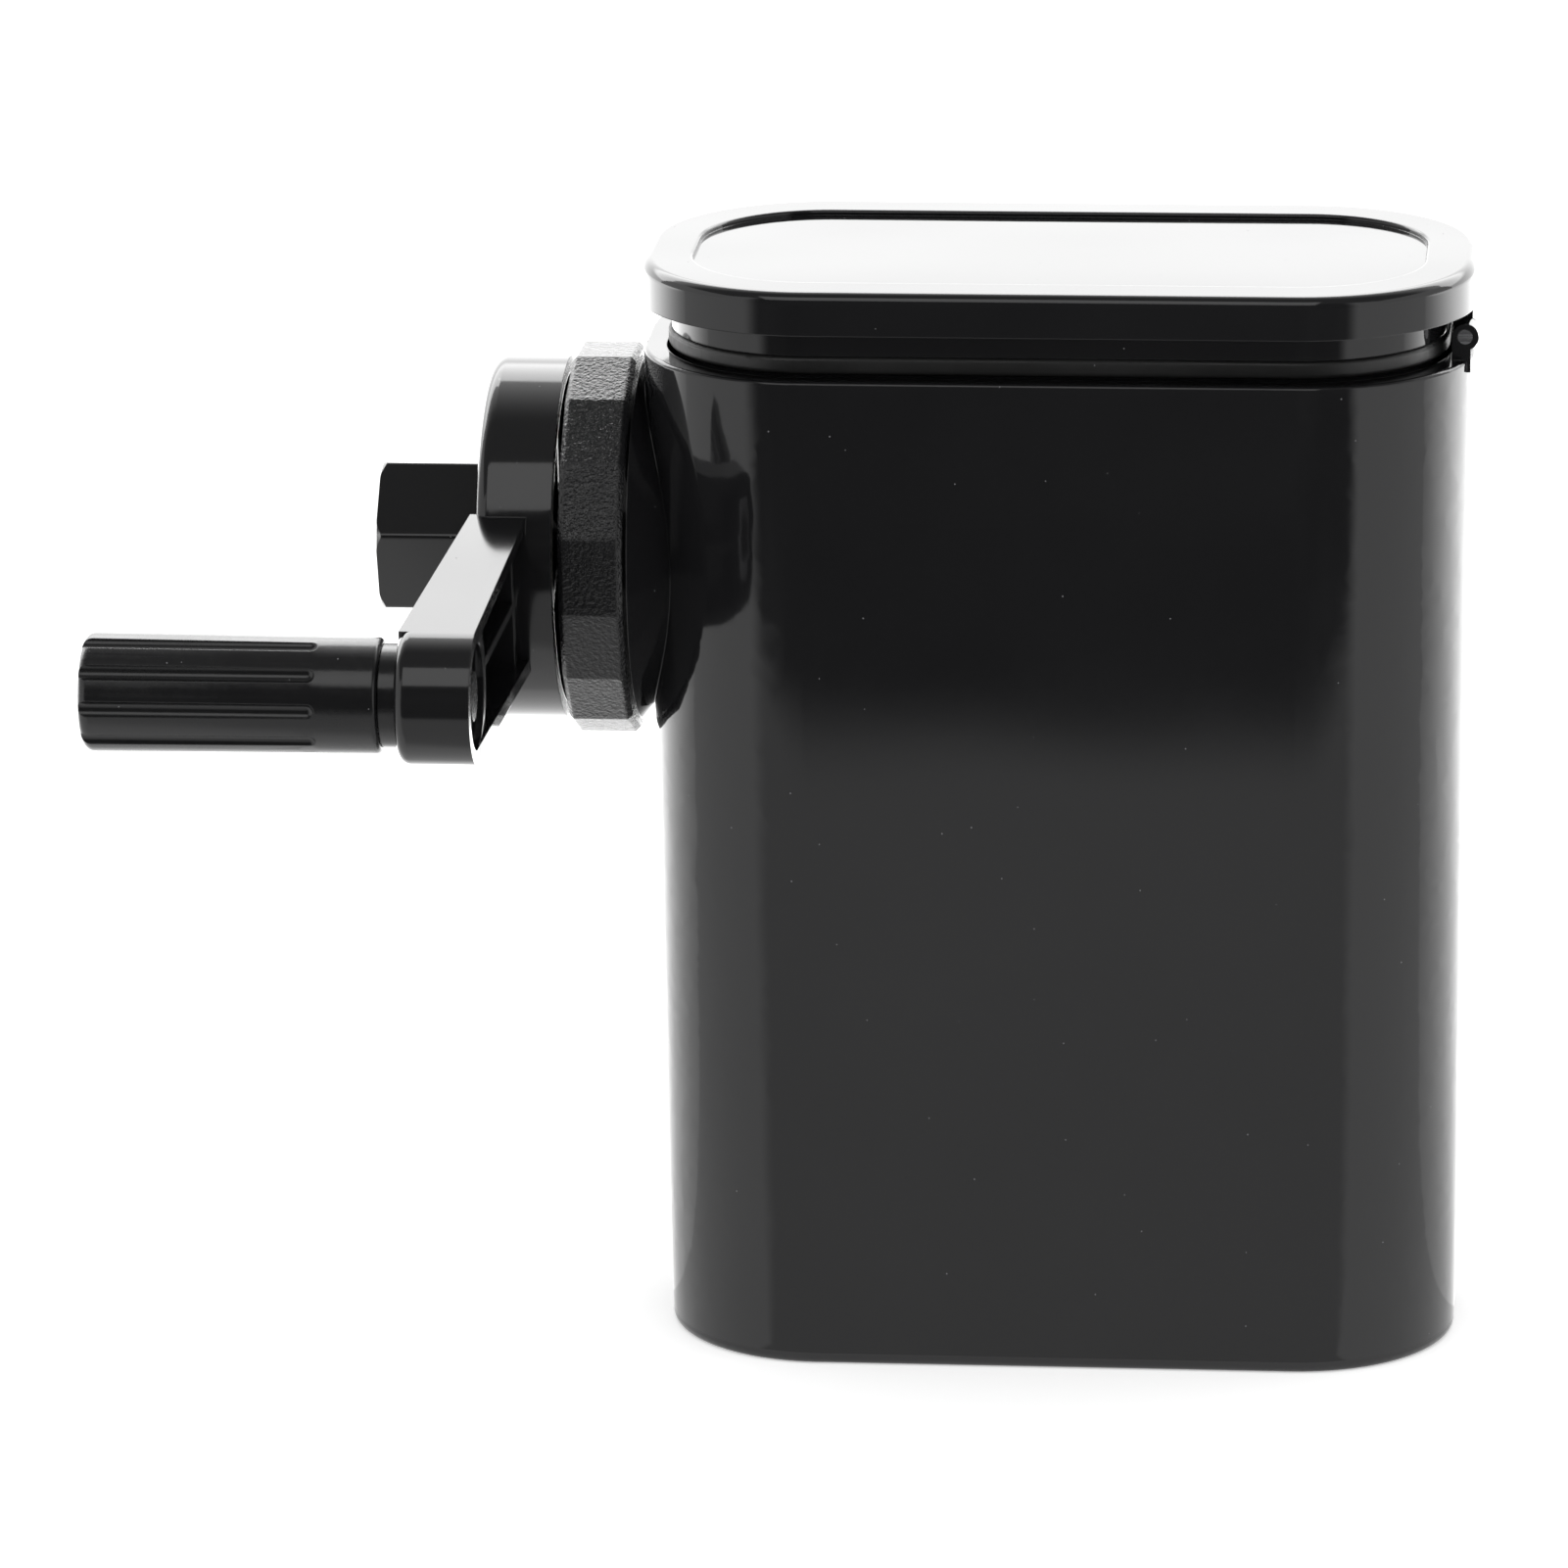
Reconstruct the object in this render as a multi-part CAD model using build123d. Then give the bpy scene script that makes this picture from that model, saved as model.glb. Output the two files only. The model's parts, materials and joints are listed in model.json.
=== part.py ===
from build123d import *

import os
from math import cos, radians, sin

# Handheld salt spreader: a lidded hopper with a side crank that turns a paddle rotor.
# Millimetres. The origin is the centre of the hopper's base, +Z is up, the crank is on the
# -X side and turns about X, and the outlet with its gate is on the +Y side.

# ---- hopper ----
BASE_LENGTH = 132.0
BASE_DEPTH = 63.6
BASE_CORNER = 26.4
TOP_LENGTH = 136.6
TOP_DEPTH = 68.4
TOP_CORNER = 28.0
HOPPER_HEIGHT = 169.2
WALL = 2.6
FLOOR = 3.0
BASE_FILLET = 1.4
RIM_FILLET = 0.6
RIM_WALL = 3.8
RIM_HEIGHT = 6.5

# ---- shared by many parts ----
OVER = 1.0
RUN = 0.05
FIT = 0.02

# ---- crank axis and drive head, X positions from the hopper outwards ----
AXIS_Z = 134.1
BOSS_R = 30.3
BOSS_FACE_X = -69.4
BOSS_CONE_X = -63.0
BOSS_ROOT_R = 21.5
BOSS_ROOT_X = -30.0
PORT_R = 25.0
PORT_SEAT_X = -66.8
THROAT_R = 19.2
THROAT_END_X = -40.0
NECK_R = 28.0
NECK_END_X = -77.0
NECK_KEY = 3.0
NECK_KEY_GAP = 0.1
LUG_COUNT = 3
LUG_REACH = 1.3
LUG_ANGLE = 20.0
LUG_X = -75.8
LUG_LENGTH = 3.4
LUG_GAP = 0.2
LUG_PLAY = 1.0

RING_R = 32.4
RING_FACETS = 16
RING_CORNER_ANGLE = 99.0
RING_OUTER_X = -80.5
RING_INNER_X = -69.9
RING_LIP = 1.4
RING_LIP_R = 23.5
RING_BORE_R = NECK_R + LUG_GAP / 2
RING_GROOVE_R = NECK_R + LUG_REACH + 1.5 * LUG_GAP
RING_CHAMFER = 0.8
RING_TURN = 45.0

PLATE_FLANGE_R = 27.5
PLATE_FLANGE = 2.0
PLATE_OUTER_X = NECK_END_X - PLATE_FLANGE
PLATE_PLUG_R = PORT_R - 0.15
PLATE_PLUG_X = -67.0
PLATE_HUB_R = 10.0
PLATE_HUB_X = -65.0
PLATE_WEB = 3.0
PLATE_RIM_R = 20.5
PLATE_RIBS = 6
PLATE_RIB = 2.0
SEAL_X = -72.5
SEAL_SECTION_R = 1.0
SEAL_R = PORT_R - RUN - SEAL_SECTION_R
SEAL_GROOVE_GAP = 0.2

# ---- shaft line ----
SHAFT_R = 4.0
SHAFT_OUTER_X = -103.0
SHAFT_INNER_X = 62.5
SHAFT_FLAT = 3.2
SHAFT_CHAMFER = 0.6
BUSH_R = 6.5
BUSH_FLANGE_R = 9.0
BUSH_FLANGE = 1.5
WASHER = 1.0
WASHER_GAP = 0.1
CLIP = 1.0
CLIP_R = 7.2
CLIP_GROOVE_R = 3.2
CLIP_MOUTH = 5.0
ROTOR_HUB_R = 7.0
ROTOR_HUB_START_X = -60.5
ROTOR_HUB_END_X = 52.0
ROTOR_R = 18.8
ROTOR_START_X = -54.0
ROTOR_END_X = 50.0
PADDLES = 6
PADDLE = 2.4
ROTOR_DISCS = 3
ROTOR_DISC = 2.0
PIN_R = 1.5
ROTOR_PIN_X = -57.25
END_BUSH_X = 54.0
END_BUSH_LENGTH = 9.5
END_BUSH_FLANGE = 1.0
SOCKET_R = 9.5
SOCKET_END_X = 66.5

# ---- crank, drawn with its arm along -Y and then dropped by ARM_DROP ----
ARM_DROP = 6.2
CRANK_RADIUS = 72.0
HUB_R = 30.3
HUB_OUTER_X = -94.4
HUB_INNER_X = -81.7
HUB_FILLET = 2.4
HUB_FACE = 3.0
HUB_SKIRT = 2.6
HUB_BOSS_R = 9.0
HUB_BOSS_X = -80.6
HUB_RIBS = 6
HUB_RIB_SETBACK = 2.0
CRANK_WASHER_R = 12.0
ARM_ROOT_Y = -20.0
ARM_ROOT_HALF = 13.9
ARM_ROOT_X = -85.4
ARM_WALL = 2.4
ARM_SKIN = 1.5
ARM_RIB = 1.6
ARM_CROSS_RIBS = 2
ARM_RIB_SETBACK = 1.5
END_R = 11.0
END_OUTER_X = -101.1
END_INNER_X = -88.8
END_FILLET = 1.9
NUT_POCKET_X = -95.3
NUT_FLATS = 13.0
NUT_LENGTH = 5.0
NUT_POCKET_R = 8.6

# ---- lock knob ----
KNOB_FLATS = 24.2
KNOB_OUTER_X = -112.9
KNOB_INNER_X = HUB_OUTER_X - RUN
KNOB_CORNER_ANGLE = 47.0
KNOB_FILLET = 1.0
KNOB_END_R = 12.9
KNOB_BEVEL = 1.0
KNOB_LEDGE = 3.0
KNOB_CHAMBER = 4.6
LOCK_PIN_X = -99.0
LOCK_PIN_HALF = 7.2
LOCK_PIN_END_GAP = 0.3
LOCK_PIN_SIDE_GAP = 0.2

# ---- grip ----
COLLAR_R = 8.3
COLLAR_OUTER_X = -103.8
JOURNAL_R = 4.5
JOURNAL_END_X = -145.1
GRIP_INNER_X = -103.9
GRIP_OUTER_X = -152.1
GRIP_R_INNER = 9.3
GRIP_R_OUTER = 9.6
GRIP_FILLET = 1.8
FLUTES = 10
FLUTE_R = 1.4
FLUTE_DEPTH = 0.95
FLUTE_TURN = 13.5
FLUTE_LENGTH = 37.0
GRIP_SHOULDER_X = -144.9
GRIP_SOCKET_R = 7.0
CAP_INNER_X = -149.5
CAP_FILLET = 0.5
GRIP_WASHER_GAP = 0.2
SCREW_R = 2.0
SCREW_HEAD_R = 3.8
SCREW_HEAD = 2.1
SCREW_REACH = 11.0
SCREW_GAP = 0.1
SCREW_SLOT = 1.0

# ---- lid ----
LID_LENGTH = 137.0
LID_DEPTH = 69.4
LID_CORNER = 28.8
LID_UNDERSIDE_Z = 177.0
LID_TOP_Z = 184.1
LID_EDGE_FILLET = 1.8
LID_RECESS_INSET = 8.5
LID_RECESS = 0.9
LID_RECESS_FILLET = 0.5
LID_PANEL = 2.6
LID_NECK_INSET = 4.8
LID_NECK_Z = 172.6
SKIRT_INSET = 5.4
SKIRT_WALL = 2.4
SKIRT_Z = 161.5
GASKET_OUT = 1.1
GASKET_LIFT = 0.3
GASKET_FILLET = 0.88
HINGE_X = 66.8
HINGE_Z = 173.1
KNUCKLE_R = 2.2
KNUCKLE_HALF = 9.0
KNUCKLE_GAP = 0.3
EAR_WIDTH = 5.0
EAR_ROOT = 2.0
HINGE_SETBACK = 0.6
HINGE_PIN_R = 1.2

# ---- outlet, gate and spout on the back ----
SLOT_WIDTH = 80.0
SLOT_HEIGHT = 22.0
PAD_Y = 35.0
PAD_WIDTH = 101.0
PAD_BOTTOM_Z = 112.0
PAD_TOP_Z = 160.0
PAD_ROOT_Y = 20.0
PAD_CORNER = 3.0
GATE = 1.8
GATE_GAP = 0.1
GATE_WIDTH = 90.0
GATE_LAP = 3.5
GATE_TAB = 8.0
GATE_TAB_WIDTH = 34.0
GATE_TAB_CORNER = 3.0
GATE_RIBS = 4
GATE_RIB = 0.8
GATE_RIB_HEIGHT = 0.6
GATE_RIB_MARGIN = 4.0
SPOUT_FLANGE = 2.5
SPOUT_MARGIN = 0.5
SPOUT_BOTTOM_Z = 116.0
SPOUT_TOP_Z = 151.2
SPOUT_WALL = 2.2
SPOUT_END_Y = 58.0
SPOUT_FLARE = 7.0
SPOUT_FALL = 4.0
SCREW_X = 47.9
SCREW_INSET_Z = 5.0
SPOUT_SCREW_R = 1.45
SPOUT_SCREW_HEAD_R = 2.8
SPOUT_SCREW_HEAD = 2.0
SPOUT_SCREW_END_Y = 30.7
CROSS_WIDTH = 0.8
CROSS_LENGTH = 3.6


# ---- helpers ----
def along_x(sketch, x_from, x_to):
    """Extrude a sketch drawn in Y and Z between two X positions."""
    return extrude(Plane.YZ.offset(x_from) * sketch, x_to - x_from)


def rod(radius, x_from, x_to):
    return along_x(Circle(radius), x_from, x_to)


def tube(outer, inner, x_from, x_to):
    return along_x(Circle(outer) - Circle(inner), x_from, x_to)


def sector(angle, width, radius, x_from, x_to):
    """Pie-shaped prism along X, used to keep a stretch of a ring."""
    start = radians(angle - width / 2)
    end = radians(angle + width / 2)
    points = [(0, 0)]
    for turn in (start, end):
        points.append((radius * cos(turn), radius * sin(turn)))
    return along_x(make_face(Polyline(*points, close=True)), x_from, x_to)


def hexagon(flats, rotation=0.0):
    return RegularPolygon(flats / 2, 6, major_radius=False, rotation=rotation)


def on_axis(shape):
    """Lift a part drawn about the X axis to the height of the crank axis."""
    return Pos(0, 0, AXIS_Z) * shape


def with_crank(shape):
    """Turn a part drawn with the arm along -Y to the crank's rest angle."""
    return on_axis(Rot(ARM_DROP, 0, 0) * shape)


def on_grip_axis(shape):
    """Place a part drawn about the X axis on the grip's own axis."""
    return with_crank(Pos(0, -CRANK_RADIUS, 0) * shape)


def block(x_range, y_range, z_range):
    """Box between lower and upper limits on each axis."""
    spans = [high - low for low, high in (x_range, y_range, z_range)]
    middles = [(high + low) / 2 for low, high in (x_range, y_range, z_range)]
    return Pos(*middles) * Box(*spans)


def double_d(radius, flat):
    """Round bore or shaft section with two flats."""
    return Circle(radius) & Rectangle(2 * radius, 2 * flat)


# ---- hopper ----
def hopper_outline(height, inset=0.0):
    """Rounded rectangle of the hopper's wall at a height, moved inwards by an inset."""
    share = height / HOPPER_HEIGHT
    length = BASE_LENGTH + share * (TOP_LENGTH - BASE_LENGTH) - 2 * inset
    depth = BASE_DEPTH + share * (TOP_DEPTH - BASE_DEPTH) - 2 * inset
    corner = BASE_CORNER + share * (TOP_CORNER - BASE_CORNER) - inset
    return Pos(0, 0, height) * RectangleRounded(length, depth, corner)


def hopper_cavity():
    """Inside of the hopper, narrower at the rim."""
    rim_z = HOPPER_HEIGHT - RIM_HEIGHT
    inside = loft([hopper_outline(FLOOR, WALL), hopper_outline(rim_z, WALL)])
    mouth = RectangleRounded(
        TOP_LENGTH - 2 * RIM_WALL, TOP_DEPTH - 2 * RIM_WALL, TOP_CORNER - RIM_WALL
    )
    return inside + Pos(0, 0, rim_z - FLOOR) * extrude(mouth, RIM_HEIGHT + 2 * FLOOR)


def neck():
    """Round neck with bayonet lugs and a key notch for the bearing plate."""
    shape = tube(NECK_R, PORT_R, NECK_END_X, BOSS_FACE_X)
    lug_ring = tube(NECK_R + LUG_REACH, NECK_R - OVER, LUG_X, LUG_X + LUG_LENGTH)
    for index in range(LUG_COUNT):
        angle = 90 + index * 360 / LUG_COUNT
        shape += lug_ring & sector(angle, LUG_ANGLE, 2 * NECK_R, LUG_X, LUG_X + LUG_LENGTH)
    half = NECK_KEY / 2
    notch = block((NECK_END_X - OVER, NECK_END_X + NECK_KEY), (-half, half), (-NECK_R - OVER, 0))
    return shape - notch


def screw_points():
    """X and Z of the four spout screws."""
    heights = (SPOUT_BOTTOM_Z + SCREW_INSET_Z, SPOUT_TOP_Z - SCREW_INSET_Z)
    return [(side * SCREW_X, height) for side in (-1, 1) for height in heights]


def along_y(sketch, y_from, y_to):
    """Extrude a sketch drawn in X and Z between two Y positions."""
    return extrude(Plane.XZ.offset(-y_from) * sketch, y_from - y_to)


def outlet_slot():
    """Opening through the back wall and its pad, level with the crank axis."""
    heights = (AXIS_Z - SLOT_HEIGHT / 2, AXIS_Z + SLOT_HEIGHT / 2)
    return block((-SLOT_WIDTH / 2, SLOT_WIDTH / 2), (PAD_ROOT_Y, PAD_Y + OVER), heights)


def hinge_ears():
    """Two ears on the hopper's rim that hold the lid's pin."""
    ears = None
    for side in (-1, 1):
        inner = KNUCKLE_HALF + KNUCKLE_GAP
        limits = sorted((side * inner, side * (inner + EAR_WIDTH)))
        barrel = Pos(HINGE_X, 0, HINGE_Z) * along_y(Circle(KNUCKLE_R), *limits)
        reach = (HINGE_X - KNUCKLE_R, TOP_LENGTH / 2 - HINGE_SETBACK)
        foot = block(reach, limits, (HOPPER_HEIGHT - EAR_ROOT, HINGE_Z))
        ear = barrel + foot
        ears = ear if ears is None else ears + ear
    return ears


def drive_boss():
    """Boss that narrows from the ring's seat to the hopper's end wall."""
    cone = loft([
        Plane.YZ.offset(BOSS_FACE_X) * Circle(BOSS_R),
        Plane.YZ.offset(BOSS_CONE_X) * Circle(BOSS_ROOT_R),
    ])
    return cone + rod(BOSS_ROOT_R, BOSS_CONE_X, BOSS_ROOT_X)


def hopper_shell():
    """Tapered body with the drive boss and the outlet pad, hollowed out."""
    body = loft([hopper_outline(0), hopper_outline(HOPPER_HEIGHT)])
    body = fillet(body.faces().sort_by(Axis.Z)[0].edges(), BASE_FILLET)
    body = fillet(body.faces().sort_by(Axis.Z)[-1].edges(), RIM_FILLET)
    body += on_axis(drive_boss())
    pad = block((-PAD_WIDTH / 2, PAD_WIDTH / 2), (PAD_ROOT_Y, PAD_Y), (PAD_BOTTOM_Z, PAD_TOP_Z))
    body += fillet(pad.edges().filter_by(Axis.Y), PAD_CORNER)
    return body - hopper_cavity()


def make_hopper():
    body = hopper_shell()
    body -= on_axis(rod(PORT_R, BOSS_FACE_X - OVER, PORT_SEAT_X))
    body -= on_axis(rod(THROAT_R, PORT_SEAT_X, THROAT_END_X))
    body += on_axis(neck())
    body += on_axis(rod(SOCKET_R, END_BUSH_X, SOCKET_END_X))
    body -= on_axis(rod(BUSH_R, END_BUSH_X - OVER, END_BUSH_X + END_BUSH_LENGTH))
    body -= outlet_slot()
    for x, z in screw_points():
        body -= Pos(x, 0, z) * along_y(Circle(SPOUT_SCREW_R), SPOUT_SCREW_END_Y, PAD_Y + OVER)
    body += hinge_ears()
    pin_reach = KNUCKLE_HALF + KNUCKLE_GAP + EAR_WIDTH + OVER
    body -= Pos(HINGE_X, 0, HINGE_Z) * along_y(Circle(HINGE_PIN_R), -pin_reach, pin_reach)
    return body


# ---- drive head ----
def make_bearing_plate():
    shape = tube(PLATE_FLANGE_R, BUSH_R, PLATE_OUTER_X, NECK_END_X)
    shape += tube(PLATE_PLUG_R, BUSH_R, NECK_END_X, PLATE_PLUG_X)
    shape += tube(PLATE_HUB_R, BUSH_R, PLATE_PLUG_X, PLATE_HUB_X)
    shape -= tube(PLATE_RIM_R, PLATE_HUB_R, PLATE_OUTER_X - OVER, PLATE_PLUG_X - PLATE_WEB)
    for index in range(PLATE_RIBS):
        rib = block(
            (PLATE_OUTER_X + OVER, PLATE_PLUG_X - OVER),
            (PLATE_HUB_R - OVER, PLATE_RIM_R + OVER),
            (-PLATE_RIB / 2, PLATE_RIB / 2),
        )
        shape += Rot(index * 360 / PLATE_RIBS, 0, 0) * rib
    half = SEAL_SECTION_R + SEAL_GROOVE_GAP
    shape -= tube(PLATE_PLUG_R + OVER, SEAL_R - SEAL_SECTION_R - RUN, SEAL_X - half, SEAL_X + half)
    key_half = NECK_KEY / 2 - NECK_KEY_GAP
    shape += block(
        (NECK_END_X - OVER, NECK_END_X + NECK_KEY - 2 * NECK_KEY_GAP),
        (-key_half, key_half),
        (-PLATE_FLANGE_R + NECK_KEY_GAP, -PLATE_PLUG_R + OVER),
    )
    return on_axis(shape)


def make_plate_seal():
    return on_axis(Pos(SEAL_X, 0, 0) * Rot(0, 90, 0) * Torus(SEAL_R, SEAL_SECTION_R))


def make_ring_nut():
    outline = RegularPolygon(RING_R, RING_FACETS, rotation=RING_CORNER_ANGLE)
    blank = along_x(outline, RING_OUTER_X, RING_INNER_X)
    ends = blank.edges().filter_by(GeomType.LINE).filter_by(Axis.X, reverse=True)
    blank = chamfer(ends, RING_CHAMFER)
    lip_x = RING_OUTER_X + RING_LIP
    blank -= rod(RING_LIP_R, RING_OUTER_X - OVER, lip_x + OVER)
    blank -= rod(RING_BORE_R, lip_x, RING_INNER_X + OVER)
    groove = (LUG_X - LUG_GAP, LUG_X + LUG_LENGTH + LUG_GAP)
    entry = (LUG_X - LUG_GAP, RING_INNER_X + OVER)
    gate_width = LUG_ANGLE + 2 * LUG_PLAY
    for index in range(LUG_COUNT):
        rest = 90 + index * 360 / LUG_COUNT
        track = tube(RING_GROOVE_R, NECK_R - OVER, *groove)
        blank -= track & sector(rest + RING_TURN / 2, RING_TURN + gate_width, 3 * NECK_R, *groove)
        slot = tube(RING_GROOVE_R, NECK_R - OVER, *entry)
        blank -= slot & sector(rest + RING_TURN, gate_width, 3 * NECK_R, *entry)
    return on_axis(blank)


def make_main_bush():
    shape = tube(BUSH_R, SHAFT_R + RUN, PLATE_OUTER_X, PLATE_HUB_X)
    shape += tube(BUSH_FLANGE_R, SHAFT_R + RUN, PLATE_HUB_X, PLATE_HUB_X + BUSH_FLANGE)
    return on_axis(shape)


# ---- shaft and rotor ----
def washer_start_x():
    return PLATE_HUB_X + BUSH_FLANGE + WASHER_GAP


def clip_start_x():
    return washer_start_x() + WASHER + WASHER_GAP


def make_drive_shaft():
    shape = rod(SHAFT_R, SHAFT_OUTER_X, SHAFT_INNER_X)
    ends = shape.edges().filter_by(GeomType.CIRCLE)
    shape = chamfer(ends, SHAFT_CHAMFER)
    waste = Rectangle(4 * SHAFT_R, 4 * SHAFT_R) - Rectangle(4 * SHAFT_R, 2 * SHAFT_FLAT)
    shape -= along_x(waste, HUB_OUTER_X - OVER, HUB_BOSS_X)
    clip_x = clip_start_x()
    shape -= tube(2 * SHAFT_R, CLIP_GROOVE_R, clip_x - RUN, clip_x + CLIP + RUN)
    shape -= Pos(ROTOR_PIN_X, 0, 0) * Rot(90, 0, 0) * Cylinder(PIN_R, 4 * SHAFT_R)
    shape -= Pos(LOCK_PIN_X, 0, 0) * Rot(90, 0, 0) * Cylinder(PIN_R, 4 * SHAFT_R)
    return with_crank(shape)


def make_thrust_washer():
    start = washer_start_x()
    return on_axis(tube(BUSH_FLANGE_R, SHAFT_R + RUN, start, start + WASHER))


def make_retaining_clip():
    start = clip_start_x()
    shape = tube(CLIP_R, CLIP_GROOVE_R + FIT, start, start + CLIP)
    mouth = (-CLIP_MOUTH / 2, CLIP_MOUTH / 2)
    shape -= block((start - OVER, start + CLIP + OVER), mouth, (0, 2 * CLIP_R))
    return with_crank(shape)


def make_rotor():
    shape = rod(ROTOR_HUB_R, ROTOR_HUB_START_X, ROTOR_HUB_END_X)
    for index in range(PADDLES):
        reach = (ROTOR_HUB_R - OVER, ROTOR_R)
        paddle = block((ROTOR_START_X, ROTOR_END_X), reach, (-PADDLE / 2, PADDLE / 2))
        shape += Rot((index + 0.5) * 360 / PADDLES, 0, 0) * paddle
    pitch = (ROTOR_END_X - ROTOR_START_X - ROTOR_DISC) / (ROTOR_DISCS - 1)
    for index in range(ROTOR_DISCS):
        start = ROTOR_START_X + index * pitch
        shape += rod(ROTOR_R, start, start + ROTOR_DISC)
    shape -= rod(SHAFT_R + FIT, ROTOR_HUB_START_X - OVER, ROTOR_HUB_END_X + OVER)
    shape -= Pos(ROTOR_PIN_X, 0, 0) * Rot(90, 0, 0) * Cylinder(PIN_R, 4 * ROTOR_HUB_R)
    return with_crank(shape)


def make_rotor_pin():
    pin = Pos(ROTOR_PIN_X, 0, 0) * Rot(90, 0, 0) * Cylinder(PIN_R, 2 * ROTOR_HUB_R)
    return with_crank(pin)


def make_end_bush():
    end = END_BUSH_X + END_BUSH_LENGTH
    shape = tube(BUSH_R, SHAFT_R + RUN, END_BUSH_X, end)
    shape += tube(BUSH_FLANGE_R, SHAFT_R + RUN, END_BUSH_X - END_BUSH_FLANGE, END_BUSH_X)
    return on_axis(shape)


# ---- crank ----
def arm_slab(wall, outer_gap, inner_reach):
    """Slanted bar from the hub to the end boss, drawn along -Y and narrowing outwards."""
    side = [
        (HUB_OUTER_X + outer_gap, 0),
        (HUB_OUTER_X + outer_gap, ARM_ROOT_Y),
        (END_OUTER_X + outer_gap, -CRANK_RADIUS),
        (END_INNER_X + inner_reach, -CRANK_RADIUS),
        (ARM_ROOT_X + inner_reach, ARM_ROOT_Y),
        (ARM_ROOT_X + inner_reach, 0),
    ]
    front = [
        (ARM_ROOT_Y, ARM_ROOT_HALF - wall),
        (-CRANK_RADIUS, END_R - wall),
        (-CRANK_RADIUS, wall - END_R),
        (ARM_ROOT_Y, wall - ARM_ROOT_HALF),
    ]
    profile = make_face(Polyline(*side, close=True))
    slab = Pos(0, 0, -HUB_R) * extrude(profile, 2 * HUB_R)
    outline = make_face(Polyline(*front, close=True))
    return slab & along_x(outline, 2 * END_OUTER_X, 0)


def arm_ribs():
    """One rib along the channel and cross ribs between its walls."""
    depth = (END_OUTER_X - OVER, HUB_INNER_X)
    half = ARM_RIB / 2
    ribs = block(depth, (-CRANK_RADIUS, 0), (-half, half))
    first = HUB_R + ARM_RIB
    last = CRANK_RADIUS - END_R - ARM_RIB
    pitch = (last - first) / (ARM_CROSS_RIBS - 1)
    for index in range(ARM_CROSS_RIBS):
        middle = -first - index * pitch
        ribs += block(depth, (middle - half, middle + half), (-ARM_ROOT_HALF, ARM_ROOT_HALF))
    return ribs & arm_slab(OVER, ARM_SKIN, -ARM_RIB_SETBACK)


def crank_hub():
    """Round cup with a bored boss and ribs behind its face."""
    hub = rod(HUB_R, HUB_OUTER_X, HUB_INNER_X)
    hub = fillet(hub.edges().group_by(Axis.X)[0], HUB_FILLET)
    face_x = HUB_OUTER_X + HUB_FACE
    hub -= rod(HUB_R - HUB_SKIRT, face_x, HUB_INNER_X + OVER)
    hub += rod(HUB_BOSS_R, face_x - OVER, HUB_BOSS_X)
    depth = (face_x - OVER, HUB_INNER_X - HUB_RIB_SETBACK)
    rib = block(depth, (HUB_BOSS_R - OVER, HUB_R - OVER), (-PLATE_RIB / 2, PLATE_RIB / 2))
    for index in range(HUB_RIBS):
        hub += Rot((index + 0.5) * 360 / HUB_RIBS, 0, 0) * rib
    drive = double_d(SHAFT_R + FIT, SHAFT_FLAT + FIT)
    return hub - along_x(drive, HUB_OUTER_X - OVER, HUB_BOSS_X + OVER)


def make_crank_arm():
    end = Pos(0, -CRANK_RADIUS, 0) * rod(END_R, END_OUTER_X, END_INNER_X)
    end = fillet(end.edges().group_by(Axis.X)[0], END_FILLET)
    channel = arm_slab(ARM_WALL, ARM_WALL, ARM_WALL)
    arm = arm_slab(0, 0, 0) - channel + arm_ribs()
    arm -= rod(HUB_R - OVER, 2 * END_OUTER_X, 0)
    shape = crank_hub() + arm + end
    hole = rod(SHAFT_R, END_OUTER_X - OVER, END_INNER_X + OVER)
    hole += rod(NUT_POCKET_R, NUT_POCKET_X, END_INNER_X + OVER)
    return with_crank(shape - Pos(0, -CRANK_RADIUS, 0) * hole)


def make_crank_washer():
    return on_axis(tube(CRANK_WASHER_R, SHAFT_R + RUN, HUB_BOSS_X + RUN, PLATE_OUTER_X - RUN))


def knob_envelope():
    """Round body with a bevelled end, which bevels the hexagon's corners."""
    reach = KNOB_END_R + KNOB_BEVEL
    bevel = loft([
        Plane.YZ.offset(KNOB_OUTER_X) * Circle(KNOB_END_R),
        Plane.YZ.offset(KNOB_OUTER_X + KNOB_BEVEL) * Circle(reach),
    ])
    body = bevel + rod(reach, KNOB_OUTER_X + KNOB_BEVEL, KNOB_INNER_X)
    return fillet(body.edges().group_by(Axis.X)[0], KNOB_FILLET / 2)


def make_lock_knob():
    blank = along_x(hexagon(KNOB_FLATS, KNOB_CORNER_ANGLE), KNOB_OUTER_X, KNOB_INNER_X)
    blank = fillet(blank.edges().filter_by(Axis.X), KNOB_FILLET)
    blank &= knob_envelope()
    ledge_x = KNOB_INNER_X - KNOB_LEDGE
    blank -= rod(SHAFT_R + RUN, SHAFT_OUTER_X - OVER, KNOB_INNER_X + OVER)
    reach = LOCK_PIN_HALF + LOCK_PIN_END_GAP
    blank -= rod(reach, ledge_x - KNOB_CHAMBER, ledge_x)
    half = PIN_R + LOCK_PIN_SIDE_GAP
    entry = block((ledge_x - OVER, KNOB_INNER_X + OVER), (-half, half), (-reach, reach))
    blank -= Rot(ARM_DROP, 0, 0) * entry
    return on_axis(blank)


def make_lock_pin():
    pin = Pos(LOCK_PIN_X, 0, 0) * Rot(90, 0, 0) * Cylinder(PIN_R, 2 * LOCK_PIN_HALF)
    return with_crank(pin)


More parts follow.
